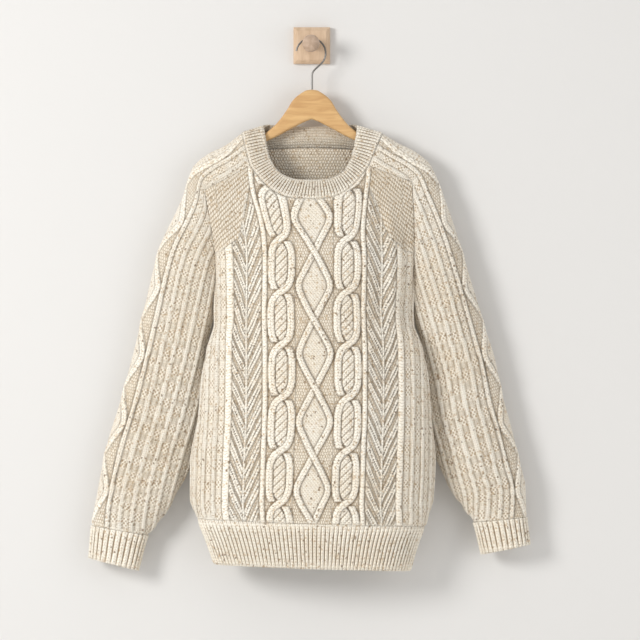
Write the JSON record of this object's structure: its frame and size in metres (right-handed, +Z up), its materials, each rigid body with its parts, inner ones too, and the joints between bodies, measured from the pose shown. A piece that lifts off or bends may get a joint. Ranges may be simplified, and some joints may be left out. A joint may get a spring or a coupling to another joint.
{
  "type": "aran sweater on a wooden hanger and wall knob",
  "caption": "Cream cable-knit aran sweater with saddle shoulders, hung on a wooden hanger from a wooden wall knob.",
  "frame": {"origin": "middle of the wall plate's back face, on the wall", "axes": "+Z up along the wall, +Y into the wall so that the sweater's front faces -Y, +X to the viewer's right"},
  "size_m": [0.686, 0.1375, 0.8458],
  "materials": {
    "wool": "undyed tweed wool, cable knit",
    "wool_rib": "undyed tweed wool, one by one rib",
    "beech": "clear satin varnish",
    "pale_wood": "bare, sanded",
    "steel_wire": "plated wire"
  },
  "bodies": {
    "root": {"front": "wool", "back": "wool", "sleeve_left": "wool", "sleeve_right": "wool", "hem_rib_front": "wool_rib", "hem_rib_back": "wool_rib", "cuff_left": "wool_rib", "cuff_right": "wool_rib", "neckband": "wool_rib", "hanger_body": "beech", "hanger_hook": "steel_wire", "wall_plate": "pale_wood", "wall_knob": "pale_wood"}
  },
  "joints": []
}
